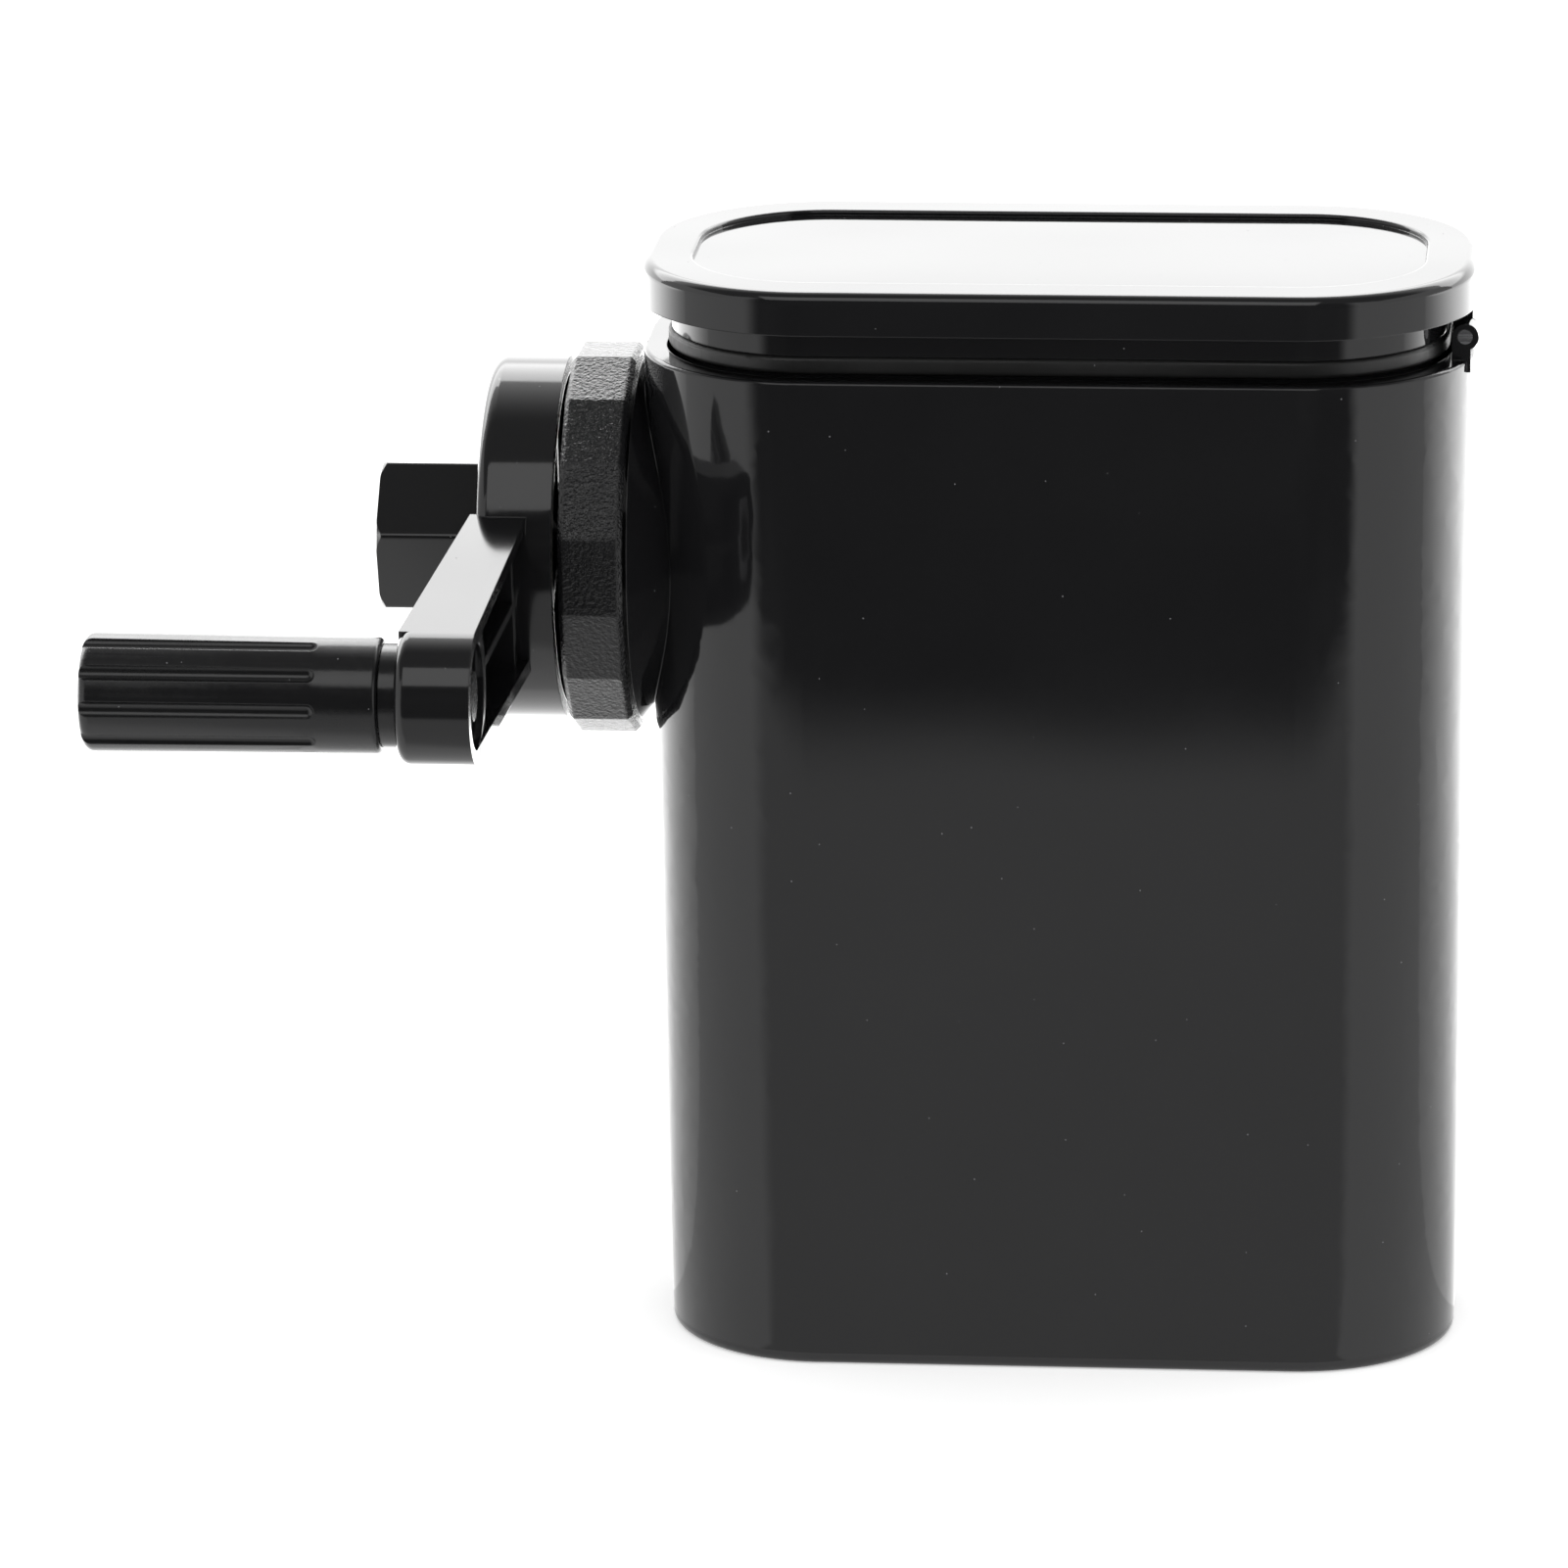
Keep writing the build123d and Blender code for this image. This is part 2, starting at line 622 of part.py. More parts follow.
# ---- grip ----
def make_grip_axle():
    shape = rod(SHAFT_R, END_OUTER_X, NUT_POCKET_X + NUT_LENGTH + OVER)
    shape += rod(COLLAR_R, COLLAR_OUTER_X, END_OUTER_X)
    shape += rod(JOURNAL_R, JOURNAL_END_X, COLLAR_OUTER_X)
    shape -= rod(SCREW_R, JOURNAL_END_X - OVER, JOURNAL_END_X + SCREW_REACH + OVER)
    return on_grip_axis(shape)


def make_axle_nut():
    end = NUT_POCKET_X + NUT_LENGTH
    nut = along_x(hexagon(NUT_FLATS), NUT_POCKET_X, end)
    return on_grip_axis(nut - rod(SHAFT_R, NUT_POCKET_X - OVER, end + OVER))


def make_grip():
    sections = [
        Plane.YZ.offset(GRIP_OUTER_X) * Circle(GRIP_R_OUTER),
        Plane.YZ.offset(GRIP_INNER_X) * Circle(GRIP_R_INNER),
    ]
    blank = loft(sections)
    blank = fillet(blank.edges().group_by(Axis.X)[0], GRIP_FILLET)
    blank = fillet(blank.edges().group_by(Axis.X)[-1], GRIP_FILLET / 2)
    flute_end = GRIP_OUTER_X + FLUTE_LENGTH
    flute = rod(FLUTE_R, GRIP_OUTER_X - OVER, flute_end) + Pos(flute_end, 0, 0) * Sphere(FLUTE_R)
    for index in range(FLUTES):
        placed = Pos(0, 0, GRIP_R_OUTER + FLUTE_R - FLUTE_DEPTH) * flute
        blank -= Rot(FLUTE_TURN + index * 360 / FLUTES, 0, 0) * placed
    blank -= rod(JOURNAL_R + RUN, GRIP_SHOULDER_X - OVER, GRIP_INNER_X + OVER)
    blank -= rod(GRIP_SOCKET_R, GRIP_OUTER_X - OVER, GRIP_SHOULDER_X)
    return on_grip_axis(blank)


def make_grip_washer():
    start = JOURNAL_END_X - RUN - WASHER
    radii = (GRIP_SOCKET_R - GRIP_WASHER_GAP, SCREW_R + SCREW_GAP)
    return on_grip_axis(tube(*radii, start, start + WASHER))


def make_grip_screw():
    head_x = JOURNAL_END_X - RUN - WASHER - RUN
    shape = rod(SCREW_R, head_x, JOURNAL_END_X + SCREW_REACH)
    head = rod(SCREW_HEAD_R, head_x - SCREW_HEAD, head_x)
    head = fillet(head.edges().group_by(Axis.X)[0], SCREW_HEAD / 2)
    half = SCREW_SLOT / 2
    depth = (head_x - SCREW_HEAD - OVER, head_x - SCREW_HEAD / 2)
    slot = block(depth, (-half, half), (-SCREW_HEAD_R, SCREW_HEAD_R))
    return on_grip_axis(shape + head - slot)


def make_grip_cap():
    shape = rod(GRIP_SOCKET_R, GRIP_OUTER_X, CAP_INNER_X)
    return on_grip_axis(fillet(shape.edges().group_by(Axis.X)[0], CAP_FILLET))


# ---- lid ----
def lid_outline(inset, height):
    size = (LID_LENGTH - 2 * inset, LID_DEPTH - 2 * inset, LID_CORNER - inset)
    return Pos(0, 0, height) * RectangleRounded(*size)


def inner_rim(top):
    """Edges round the recess at the lid's highest level."""
    highest = top.edges().group_by(Axis.Z)[-1]
    widest = LID_LENGTH / 2 - LID_RECESS_INSET + RUN
    reach = LID_DEPTH / 2 - LID_RECESS_INSET + RUN
    return highest.filter_by_position(Axis.X, -widest, widest).filter_by_position(Axis.Y, -reach, reach)


def make_lid():
    top = extrude(lid_outline(0, LID_UNDERSIDE_Z), LID_TOP_Z - LID_UNDERSIDE_Z)
    top = fillet(top.edges().group_by(Axis.Z)[-1], LID_EDGE_FILLET)
    top -= extrude(lid_outline(LID_RECESS_INSET, LID_TOP_Z - LID_RECESS), LID_RECESS)
    top = fillet(inner_rim(top), LID_RECESS_FILLET)
    panel_z = LID_TOP_Z - LID_RECESS - LID_PANEL
    shape = top + extrude(lid_outline(LID_NECK_INSET, LID_NECK_Z), LID_UNDERSIDE_Z - LID_NECK_Z)
    shape += extrude(lid_outline(SKIRT_INSET, SKIRT_Z), LID_UNDERSIDE_Z - SKIRT_Z)
    hollow = lid_outline(SKIRT_INSET + SKIRT_WALL, SKIRT_Z - OVER)
    shape -= extrude(hollow, panel_z - SKIRT_Z + OVER)
    barrel = Pos(HINGE_X, 0, HINGE_Z) * along_y(Circle(KNUCKLE_R), -KNUCKLE_HALF, KNUCKLE_HALF)
    arm = block(
        (HINGE_X - KNUCKLE_R, LID_LENGTH / 2 - HINGE_SETBACK),
        (-KNUCKLE_HALF, KNUCKLE_HALF),
        (HINGE_Z, LID_UNDERSIDE_Z + OVER),
    )
    shape += barrel + arm
    reach = KNUCKLE_HALF + OVER
    bore = along_y(Circle(HINGE_PIN_R + RUN), -reach, reach)
    return shape - Pos(HINGE_X, 0, HINGE_Z) * bore


def make_lid_gasket():
    bottom = HOPPER_HEIGHT + GASKET_LIFT
    outer = extrude(lid_outline(SKIRT_INSET - GASKET_OUT, bottom), LID_NECK_Z - bottom)
    rims = outer.edges().group_by(Axis.Z)[0] + outer.edges().group_by(Axis.Z)[-1]
    outer = fillet(rims, GASKET_FILLET)
    return outer - extrude(lid_outline(SKIRT_INSET, bottom - OVER), LID_NECK_Z - bottom + 2 * OVER)


def make_hinge_pin():
    half = KNUCKLE_HALF + KNUCKLE_GAP + EAR_WIDTH
    return Pos(HINGE_X, 0, HINGE_Z) * along_y(Circle(HINGE_PIN_R), -half, half)


# ---- outlet ----
def make_gate():
    start_y = PAD_Y + GATE_GAP
    face_y = start_y + GATE
    bottom_z = AXIS_Z - SLOT_HEIGHT / 2 - GATE_LAP
    tab_z = SPOUT_TOP_Z + GATE_GAP
    half = GATE_WIDTH / 2
    shape = block((-half, half), (start_y, face_y), (bottom_z, tab_z + GATE))
    tab = GATE_TAB_WIDTH / 2
    handle = block((-tab, tab), (start_y, face_y + GATE_TAB), (tab_z, tab_z + GATE))
    shape += fillet(handle.edges().filter_by(Axis.Z).group_by(Axis.Y)[-1], GATE_TAB_CORNER)
    pitch = GATE_TAB / (GATE_RIBS + 1)
    reach = tab - GATE_RIB_MARGIN
    heights = (tab_z + OVER, tab_z + GATE + GATE_RIB_HEIGHT)
    for index in range(GATE_RIBS):
        middle = face_y + (index + GATE_RIB) * pitch
        shape += block((-reach, reach), (middle - GATE_RIB / 2, middle + GATE_RIB / 2), heights)
    return shape


def spout_section(y, margin):
    """Rectangle of the chute at a distance from the pad; it widens and falls outwards."""
    share = (y - PAD_Y) / (SPOUT_END_Y - PAD_Y)
    width = SLOT_WIDTH + SPOUT_FLARE * share + 2 * margin
    height = SLOT_HEIGHT + SPOUT_FLARE / 2 * share + 2 * margin
    centre = AXIS_Z - SPOUT_FALL * share
    return Plane.XZ.offset(-y) * Pos(0, centre) * Rectangle(width, height)


def make_spout():
    plate_y = PAD_Y + 2 * GATE_GAP + GATE
    half = PAD_WIDTH / 2 - SPOUT_MARGIN
    heights = (SPOUT_BOTTOM_Z, SPOUT_TOP_Z)
    flange = block((-half, half), (plate_y, plate_y + SPOUT_FLANGE), heights)
    flange = fillet(flange.edges().filter_by(Axis.Y), PAD_CORNER)
    rail_x = GATE_WIDTH / 2 + GATE_GAP
    rails = block((-half, half), (PAD_Y, plate_y), heights)
    rails = fillet(rails.edges().filter_by(Axis.Y), PAD_CORNER)
    rails -= block((-rail_x, rail_x), (PAD_Y - OVER, plate_y + OVER), (0, 2 * AXIS_Z))
    chute = loft([spout_section(plate_y, SPOUT_WALL), spout_section(SPOUT_END_Y, SPOUT_WALL)])
    way = loft([spout_section(PAD_Y, 0), spout_section(SPOUT_END_Y + OVER, 0)])
    shape = flange + rails + chute - way
    hole = along_y(Circle(SPOUT_SCREW_R + SCREW_GAP), PAD_Y - OVER, plate_y + 2 * SPOUT_FLANGE)
    for x, z in screw_points():
        shape -= Pos(x, 0, z) * hole
    return shape


def spout_screw():
    """Cross-headed screw on the Y axis, its head on the spout's flange."""
    seat_y = PAD_Y + 2 * GATE_GAP + GATE + SPOUT_FLANGE
    shank = along_y(Circle(SPOUT_SCREW_R), SPOUT_SCREW_END_Y, seat_y)
    head = along_y(Circle(SPOUT_SCREW_HEAD_R), seat_y, seat_y + SPOUT_SCREW_HEAD)
    head = fillet(head.edges().group_by(Axis.Y)[-1], SPOUT_SCREW_HEAD / 2)
    cross = Rectangle(CROSS_WIDTH, CROSS_LENGTH) + Rectangle(CROSS_LENGTH, CROSS_WIDTH)
    return shank + head - along_y(cross, seat_y + OVER, seat_y + 2 * SPOUT_SCREW_HEAD)


def make_spout_screws():
    screws = [Pos(x, 0, z) * spout_screw() for x, z in screw_points()]
    return Compound(children=screws)


PARTS = {
    "hopper": make_hopper,
    "bearing_plate": make_bearing_plate,
    "plate_seal": make_plate_seal,
    "ring_nut": make_ring_nut,
    "main_bush": make_main_bush,
    "drive_shaft": make_drive_shaft,
    "thrust_washer": make_thrust_washer,
    "retaining_clip": make_retaining_clip,
    "rotor": make_rotor,
    "rotor_pin": make_rotor_pin,
    "end_bush": make_end_bush,
    "crank_arm": make_crank_arm,
    "crank_washer": make_crank_washer,
    "lock_knob": make_lock_knob,
    "lock_pin": make_lock_pin,
    "grip_axle": make_grip_axle,
    "axle_nut": make_axle_nut,
    "grip": make_grip,
    "grip_washer": make_grip_washer,
    "grip_screw": make_grip_screw,
    "grip_cap": make_grip_cap,
    "lid": make_lid,
    "lid_gasket": make_lid_gasket,
    "hinge_pin": make_hinge_pin,
    "gate": make_gate,
    "spout": make_spout,
    "spout_screws": make_spout_screws,
}

os.makedirs("parts", exist_ok=True)
for name, make in PARTS.items():
    export_step(make(), os.path.join("parts", name + ".step"))
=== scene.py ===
import json
import math

import bpy
from mathutils import Matrix, Vector

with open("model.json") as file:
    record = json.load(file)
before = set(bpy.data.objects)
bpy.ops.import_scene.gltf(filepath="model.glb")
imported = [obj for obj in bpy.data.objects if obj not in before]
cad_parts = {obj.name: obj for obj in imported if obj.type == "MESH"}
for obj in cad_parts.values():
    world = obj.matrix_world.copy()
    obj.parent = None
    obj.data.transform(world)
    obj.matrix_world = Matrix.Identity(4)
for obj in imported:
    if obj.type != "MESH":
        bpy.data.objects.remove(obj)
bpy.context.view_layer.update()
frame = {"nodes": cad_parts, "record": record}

# ---- view: a long lens, a little above the object and to its right ----
LENS = 216.0
SENSOR_WIDTH = 36.0
CLIP_END = 50.0
DISTANCE = 1.5716
PITCH = math.radians(16.27)
YAW = math.radians(-5.58)
ROLL = math.radians(-0.73)
AIM_X = -0.04656
AIM_Z = 0.09288

# ---- stage: lengths in metres, glows as emission strengths ----
FLOOR_SIZE = 14.0
FLOOR_COLOUR = (0.93, 0.93, 0.93, 1)
FLOOR_ROUGHNESS = 0.9
FLOOR_GLOW = 0.4
WORLD_COLOUR = (1, 1, 1, 1)
WORLD_GLOW = 1.05

# the cards form a room that only reflections see
ROOM_HALF = 4.0
FRONT_Y = -2.6
BACK_Y = 2.0
CEILING_Z = 2.6
CARD_LIFT = 0.002
SIDE_GLOW = 1.1
NEAR_GLOW = 0.68
BACK_WALL_GLOW = (3.1, 6.0)
BACK_WALL_Z = (0.95, 1.25)
BACK_FLOOR_GLOW = 4.4
BACK_FLOOR_Y = (-0.1, 0.42)
CEILING_GLOW = (0.22, 1.6)
CEILING_Y = (0.0, 1.9)

# the dark flag in front starts at a depth, and its sides are slopes from the hopper's corners
FLAG_GLOW = 0.052
FLAG_DEPTH = (0.33, 0.41)
FLAG_CORNER_X = 0.045
FLAG_CORNER_DEPTH = 0.028
FLAG_MIN_REACH = 0.005
FLAG_LEFT = (-0.98, -0.62)
FLAG_RIGHT = (0.6, 0.88)
FLAG_MOTTLE_SCALE = 3.0

SOFTBOX_GLOW = 1.6
SOFTBOX_X = (-1.0, 0.4)
SOFTBOX_ELEVATIONS = (32.0, 62.0)
SOFTBOX_DISTANCE = 2.0

# ---- surface texture: scales are cells per metre ----
BROAD_SCALE = 28.0
FINE_SCALE = 900.0
WAVE_SCALE = 16.0
WAVE_DEPTH = 0.0004
PEEL_SCALE = 160.0
GRAIN_SCALE = 1500.0
METAL_BROAD_SCALE = 60.0
METAL_LINE_DEPTH = 0.00001
DUST_SCALE = 400.0
DUST_RADIUS = 0.05
DUST_SHARE = 0.84
DUST_ROUGHNESS = 0.6
DUST_COLOUR = (0.12, 0.12, 0.125, 1)

# sockets of the colour mix node
MIX_A, MIX_B, MIX_RESULT = 6, 7, 2


def material(name):
    made = bpy.data.materials.new(name)
    made.use_nodes = True
    nodes = made.node_tree.nodes
    return made, nodes, made.node_tree.links, nodes["Principled BSDF"]


def node(nodes, kind, **values):
    """New node; each value sets an input of that name, or else a property."""
    made = nodes.new(kind)
    for key, value in values.items():
        if key in made.inputs:
            made.inputs[key].default_value = value
        else:
            setattr(made, key, value)
    return made


def ramp(nodes, links, source, limits, levels):
    """Smooth change of a value between two levels."""
    made = node(nodes, "ShaderNodeMapRange", interpolation_type="SMOOTHSTEP")
    names = ("From Min", "From Max", "To Min", "To Max")
    for name, value in zip(names, (*limits, *levels)):
        made.inputs[name].default_value = value
    links.new(source, made.inputs["Value"])
    return made.outputs["Result"]


def fill(links, socket, value):
    """Set a socket from another socket or from a plain value."""
    if isinstance(value, bpy.types.NodeSocket):
        links.new(value, socket)
    else:
        socket.default_value = value


def calc(nodes, links, operation, first, second):
    made = node(nodes, "ShaderNodeMath", operation=operation)
    fill(links, made.inputs[0], first)
    fill(links, made.inputs[1], second)
    return made.outputs[0]


def blend(nodes, links, factor, first, second):
    """Colour between two colours."""
    made = node(nodes, "ShaderNodeMix", data_type="RGBA")
    links.new(factor, made.inputs["Factor"])
    fill(links, made.inputs[MIX_A], first)
    fill(links, made.inputs[MIX_B], second)
    return made.outputs[MIX_RESULT]


def shade(colour, factor):
    return (*[channel * factor for channel in colour], 1)


def noise(nodes, links, place, scale, detail=3.0):
    made = node(nodes, "ShaderNodeTexNoise", Scale=scale, Detail=detail, Roughness=0.6)
    links.new(place, made.inputs["Vector"])
    return made.outputs["Fac"]


def stretched(nodes, links, place, scale):
    """Coordinates drawn out along one axis, for fine lines."""
    made = node(nodes, "ShaderNodeMapping", Scale=scale)
    links.new(place, made.inputs["Vector"])
    return made.outputs["Vector"]


def relief(nodes, links, height, normal, strength, depth):
    """Normal with the height's bumps on it."""
    made = node(nodes, "ShaderNodeBump", Strength=strength, Distance=depth)
    links.new(height, made.inputs["Height"])
    if normal:
        links.new(normal, made.inputs["Normal"])
    return made.outputs["Normal"]


def dust_mask(nodes, links, place):
    """Sparse specks of dust, a fraction of a millimetre across."""
    cells = node(nodes, "ShaderNodeTexVoronoi", Scale=DUST_SCALE)
    links.new(place, cells.inputs["Vector"])
    parts = node(nodes, "ShaderNodeSeparateColor")
    links.new(cells.outputs["Color"], parts.inputs["Color"])
    near = calc(nodes, links, "LESS_THAN", cells.outputs["Distance"], DUST_RADIUS)
    chosen = calc(nodes, links, "GREATER_THAN", parts.outputs[0], DUST_SHARE)
    return calc(nodes, links, "MULTIPLY", near, chosen)


def plastic(name, colour, roughness, peel=0.000004, grain=0.0, edge_radius=0.00025, streak=None):
    """Moulded plastic: uneven gloss, slight waves, peel and dust; grain and streaks if given."""
    made, nodes, links, shader = material(name)
    place = node(nodes, "ShaderNodeTexCoord").outputs["Object"]
    broad = noise(nodes, links, place, BROAD_SCALE, 5.0)
    fine = noise(nodes, links, place, FINE_SCALE)
    gloss = ramp(nodes, links, broad, (0.3, 0.7), (roughness * 0.8, roughness * 1.35))
    spots = ramp(nodes, links, fine, (0.3, 0.8), (0, roughness * 0.3))
    gloss = calc(nodes, links, "ADD", gloss, spots)
    if streak:
        lines = noise(nodes, links, stretched(nodes, links, place, streak), 1.0)
        lines = ramp(nodes, links, lines, (0.4, 0.8), (0, roughness * 0.7))
        gloss = calc(nodes, links, "ADD", gloss, lines)
    dust = dust_mask(nodes, links, place)
    matt = calc(nodes, links, "MULTIPLY", dust, DUST_ROUGHNESS)
    links.new(calc(nodes, links, "ADD", gloss, matt), shader.inputs["Roughness"])

    tint = blend(nodes, links, broad, shade(colour, 0.8), shade(colour, 1.25))
    links.new(blend(nodes, links, dust, tint, DUST_COLOUR), shader.inputs["Base Color"])

    edge = node(nodes, "ShaderNodeBevel", samples=4, Radius=edge_radius)
    waves = noise(nodes, links, place, WAVE_SCALE, 1.0)
    normal = relief(nodes, links, waves, edge.outputs["Normal"], 1.0, WAVE_DEPTH)
    normal = relief(nodes, links, noise(nodes, links, place, PEEL_SCALE, 2.0), normal, 0.5, peel)
    if grain:
        grains = noise(nodes, links, place, GRAIN_SCALE, 2.0)
        normal = relief(nodes, links, grains, normal, 1.0, grain)
    links.new(normal, shader.inputs["Normal"])
    return made


def metal(name, colour, roughness, streak):
    """Turned or ground steel with fine tool lines."""
    made, nodes, links, shader = material(name)
    shader.inputs["Metallic"].default_value = 1.0
    place = node(nodes, "ShaderNodeTexCoord").outputs["Object"]
    lines = noise(nodes, links, stretched(nodes, links, place, streak), 1.0)
    broad = noise(nodes, links, place, METAL_BROAD_SCALE)
    gloss = ramp(nodes, links, lines, (0.3, 0.7), (roughness * 0.6, roughness * 1.5))
    links.new(gloss, shader.inputs["Roughness"])
    tint = blend(nodes, links, broad, shade(colour, 0.85), shade(colour, 1.0))
    links.new(tint, shader.inputs["Base Color"])
    normal = relief(nodes, links, lines, None, 0.3, METAL_LINE_DEPTH)
    links.new(normal, shader.inputs["Normal"])
    return made


GLOSS = plastic("gloss_black", (0.0065, 0.0065, 0.007), 0.055)
CRANK_GLOSS = plastic("crank_black", (0.006, 0.006, 0.0064), 0.085, peel=0.000006)
GRAINED = plastic(
    "grained_black", (0.0055, 0.0055, 0.006), 0.19, grain=0.0003, edge_radius=0.0007
)
SATIN = plastic(
    "satin_black", (0.005, 0.005, 0.0055), 0.17, grain=0.000008, streak=(30.0, 900.0, 900.0)
)
GREY = plastic("rotor_grey", (0.05, 0.05, 0.055), 0.3, grain=0.00001)
WHITE = plastic("bearing_white", (0.6, 0.59, 0.55), 0.35)
RUBBER = plastic("rubber", (0.008, 0.008, 0.008), 0.38, grain=0.00001)
STEEL = metal("steel", (0.62, 0.62, 0.64), 0.22, (60.0, 2500.0, 2500.0))

FINISH = {
    "body": GLOSS,
    "lid": GLOSS,
    "crank": CRANK_GLOSS,
    "ring": GRAINED,
    "grip": SATIN,
    "axle": SATIN,
    "drive_plastic": SATIN,
    "gate": SATIN,
    "rotor": GREY,
    "bush": WHITE,
    "washer": WHITE,
    "rubber": RUBBER,
    "steel": STEEL,
}


def dress_cad():
    """Every CAD node takes the material of its slot."""
    for entry in frame["record"]["subparts"]:
        mesh = frame["nodes"][entry["node"]].data
        mesh.materials.clear()
        mesh.materials.append(FINISH[entry["material_slot"]])


def add_camera():
    cos_y, sin_y = math.cos(YAW), math.sin(YAW)
    cos_p, sin_p = math.cos(PITCH), math.sin(PITCH)
    cos_r, sin_r = math.cos(ROLL), math.sin(ROLL)
    forward = Vector((sin_y * cos_p, cos_y * cos_p, -sin_p))
    right = Vector((cos_y, -sin_y, 0))
    up = Vector((sin_y * sin_p, cos_y * sin_p, cos_p))
    aim = Vector((AIM_X * cos_y, -AIM_X * sin_y, AIM_Z))
    turned_right = right * cos_r + up * sin_r
    turned_up = up * cos_r - right * sin_r
    data = bpy.data.cameras.new("camera")
    data.lens = LENS
    data.sensor_width = SENSOR_WIDTH
    data.clip_end = CLIP_END
    camera = bpy.data.objects.new("camera", data)
    bpy.context.scene.collection.objects.link(camera)
    axes = Matrix((turned_right, turned_up, -forward)).transposed().to_4x4()
    camera.matrix_world = Matrix.Translation(aim - DISTANCE * forward) @ axes
    bpy.context.scene.camera = camera


def emission(name, strength=1.0):
    """Glowing card finish; returns the socket that sets its strength as well."""
    made = bpy.data.materials.new(name)
    made.use_nodes = True
    nodes, links = made.node_tree.nodes, made.node_tree.links
    nodes.clear()
    glow = node(nodes, "ShaderNodeEmission", Strength=strength)
    out = nodes.new("ShaderNodeOutputMaterial")
    links.new(glow.outputs["Emission"], out.inputs["Surface"])
    return made, nodes, links, glow.inputs["Strength"]


def object_axes(nodes, links):
    """Object coordinates, whole and as separate axes."""
    place = node(nodes, "ShaderNodeTexCoord").outputs["Object"]
    parts = node(nodes, "ShaderNodeSeparateXYZ")
    links.new(place, parts.inputs["Vector"])
    return place, parts.outputs


def front_glow():
    """Grey near the object, side glow outside the flag, and the dark flag between."""
    made, nodes, links, strength = emission("front_glow")
    place, axes = object_axes(nodes, links)
    depth = calc(nodes, links, "MULTIPLY", axes["Y"], -1.0)
    reach = calc(nodes, links, "SUBTRACT", depth, FLAG_CORNER_DEPTH)
    reach = calc(nodes, links, "MAXIMUM", reach, FLAG_MIN_REACH)
    from_left = calc(nodes, links, "ADD", axes["X"], FLAG_CORNER_X)
    from_right = calc(nodes, links, "SUBTRACT", axes["X"], FLAG_CORNER_X)
    left = calc(nodes, links, "DIVIDE", from_left, reach)
    right = calc(nodes, links, "DIVIDE", from_right, reach)
    left = ramp(nodes, links, left, FLAG_LEFT, (0, 1))
    right = ramp(nodes, links, right, FLAG_RIGHT, (1, 0))
    middle = calc(nodes, links, "MULTIPLY", left, right)
    far = ramp(nodes, links, depth, FLAG_DEPTH, (0, 1))
    mottle = noise(nodes, links, place, FLAG_MOTTLE_SCALE)
    mottle = ramp(nodes, links, mottle, (0.35, 0.65), (0, FLAG_GLOW))
    dark = calc(nodes, links, "ADD", mottle, FLAG_GLOW)
    near_drop = calc(nodes, links, "SUBTRACT", NEAR_GLOW, dark)
    near_drop = calc(nodes, links, "MULTIPLY", near_drop, far)
    centre = calc(nodes, links, "SUBTRACT", NEAR_GLOW, near_drop)
    edge_drop = calc(nodes, links, "SUBTRACT", SIDE_GLOW, centre)
    edge_drop = calc(nodes, links, "MULTIPLY", edge_drop, middle)
    links.new(calc(nodes, links, "SUBTRACT", SIDE_GLOW, edge_drop), strength)
    return made


def graded_glow(name, axis, limits, levels):
    """Glow that changes along one axis."""
    made, nodes, links, strength = emission(name)
    axes = object_axes(nodes, links)[1]
    links.new(ramp(nodes, links, axes[axis], limits, levels), strength)
    return made


def card(name, corners, finish, reflected_only=True):
    """A flat studio card. Reflected-only cards light no surface and hide nothing."""
    mesh = bpy.data.meshes.new(name)
    mesh.from_pydata(corners, [], [tuple(range(len(corners)))])
    mesh.materials.append(finish)
    made = bpy.data.objects.new(name, mesh)
    bpy.context.scene.collection.objects.link(made)
    if reflected_only:
        made.visible_camera = False
        made.visible_diffuse = False
        made.visible_transmission = False
        made.visible_shadow = False


def flat(x_limits, y_limits, z):
    (x0, x1), (y0, y1) = x_limits, y_limits
    return [(x0, y0, z), (x1, y0, z), (x1, y1, z), (x0, y1, z)]


def upright(x_limits, y, z_limits):
    (x0, x1), (z0, z1) = x_limits, z_limits
    return [(x0, y, z0), (x1, y, z0), (x1, y, z1), (x0, y, z1)]


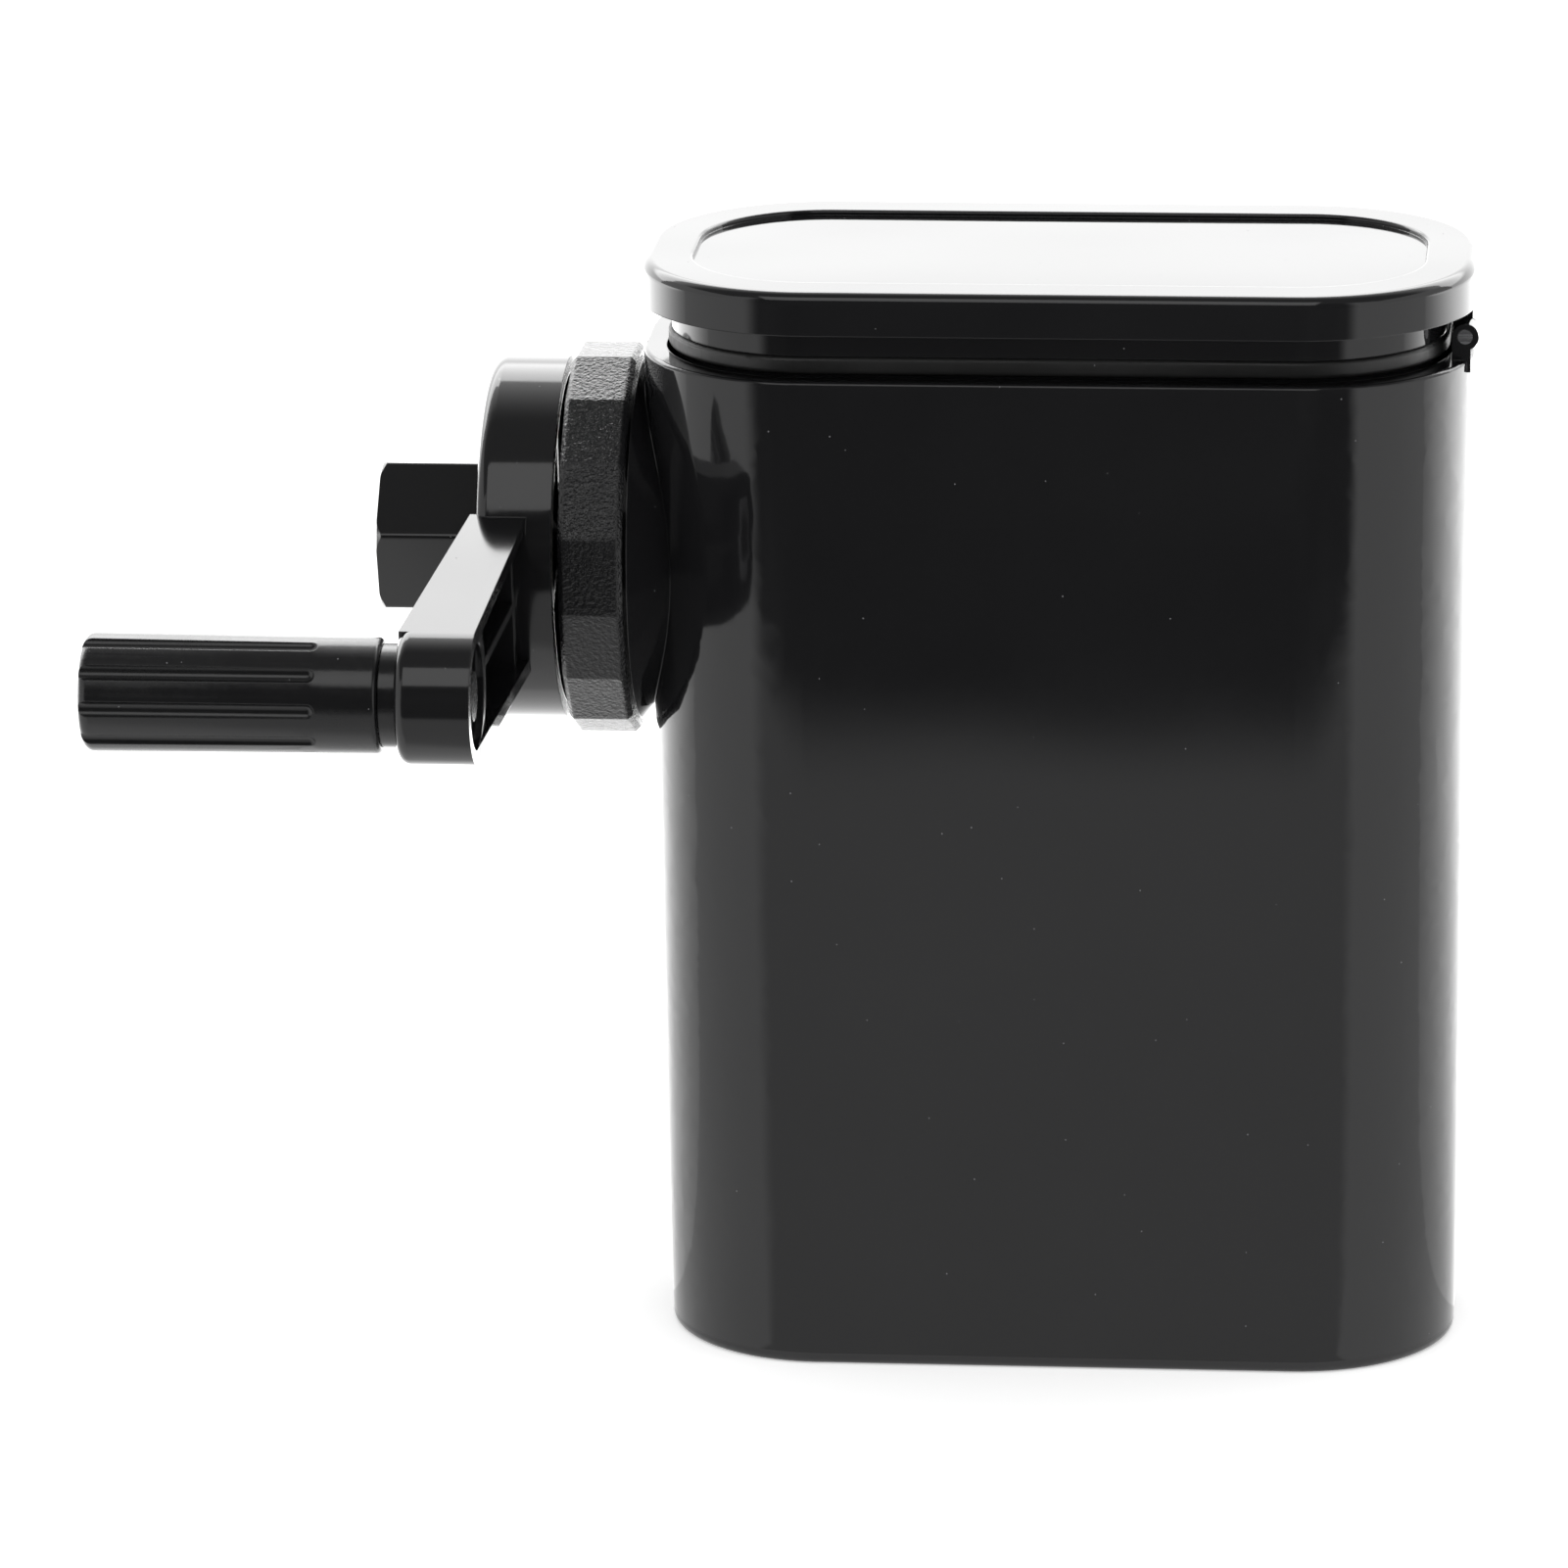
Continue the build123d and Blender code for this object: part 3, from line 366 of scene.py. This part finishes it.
def softbox():
    """Corners of a card in front and above, tilted to face the object."""
    low, high = [math.radians(angle) for angle in SOFTBOX_ELEVATIONS]
    x0, x1 = SOFTBOX_X
    corners = []
    for angle, ends in ((low, (x0, x1)), (high, (x1, x0))):
        y = -SOFTBOX_DISTANCE * math.cos(angle)
        z = AIM_Z + SOFTBOX_DISTANCE * math.sin(angle)
        corners += [(x, y, z) for x in ends]
    return corners


def add_cards():
    room = (-ROOM_HALF, ROOM_HALF)
    height = (0, CEILING_Z)
    front = front_glow()
    ceiling = graded_glow("ceiling_glow", "Y", CEILING_Y, CEILING_GLOW)
    floor = graded_glow("back_floor_glow", "Y", BACK_FLOOR_Y, (SIDE_GLOW, BACK_FLOOR_GLOW))
    wall = graded_glow("back_glow", "Z", BACK_WALL_Z, BACK_WALL_GLOW)
    card("front_floor", flat(room, (FRONT_Y, -CARD_LIFT), CARD_LIFT), front)
    card("front_wall", upright(room, FRONT_Y, height), front)
    card("ceiling", flat(room, (FRONT_Y, BACK_Y), CEILING_Z), ceiling)
    card("back_floor", flat(room, (-CARD_LIFT, BACK_Y), CARD_LIFT), floor)
    card("back_wall", upright(room, BACK_Y, height), wall)
    card("softbox", softbox(), emission("softbox_glow", SOFTBOX_GLOW)[0])


def add_stage():
    finish, _, _, shader = material("floor_white")
    shader.inputs["Base Color"].default_value = FLOOR_COLOUR
    shader.inputs["Roughness"].default_value = FLOOR_ROUGHNESS
    shader.inputs["Specular IOR Level"].default_value = 0.0
    shader.inputs["Emission Color"].default_value = (1, 1, 1, 1)
    shader.inputs["Emission Strength"].default_value = FLOOR_GLOW
    span = (-FLOOR_SIZE / 2, FLOOR_SIZE / 2)
    card("floor", flat(span, span, 0), finish, reflected_only=False)
    add_cards()
    world = bpy.data.worlds.new("studio")
    world.use_nodes = True
    background = world.node_tree.nodes["Background"]
    background.inputs["Color"].default_value = WORLD_COLOUR
    background.inputs["Strength"].default_value = WORLD_GLOW
    bpy.context.scene.world = world
    bpy.context.scene.view_settings.view_transform = "Standard"


dress_cad()
add_camera()
add_stage()
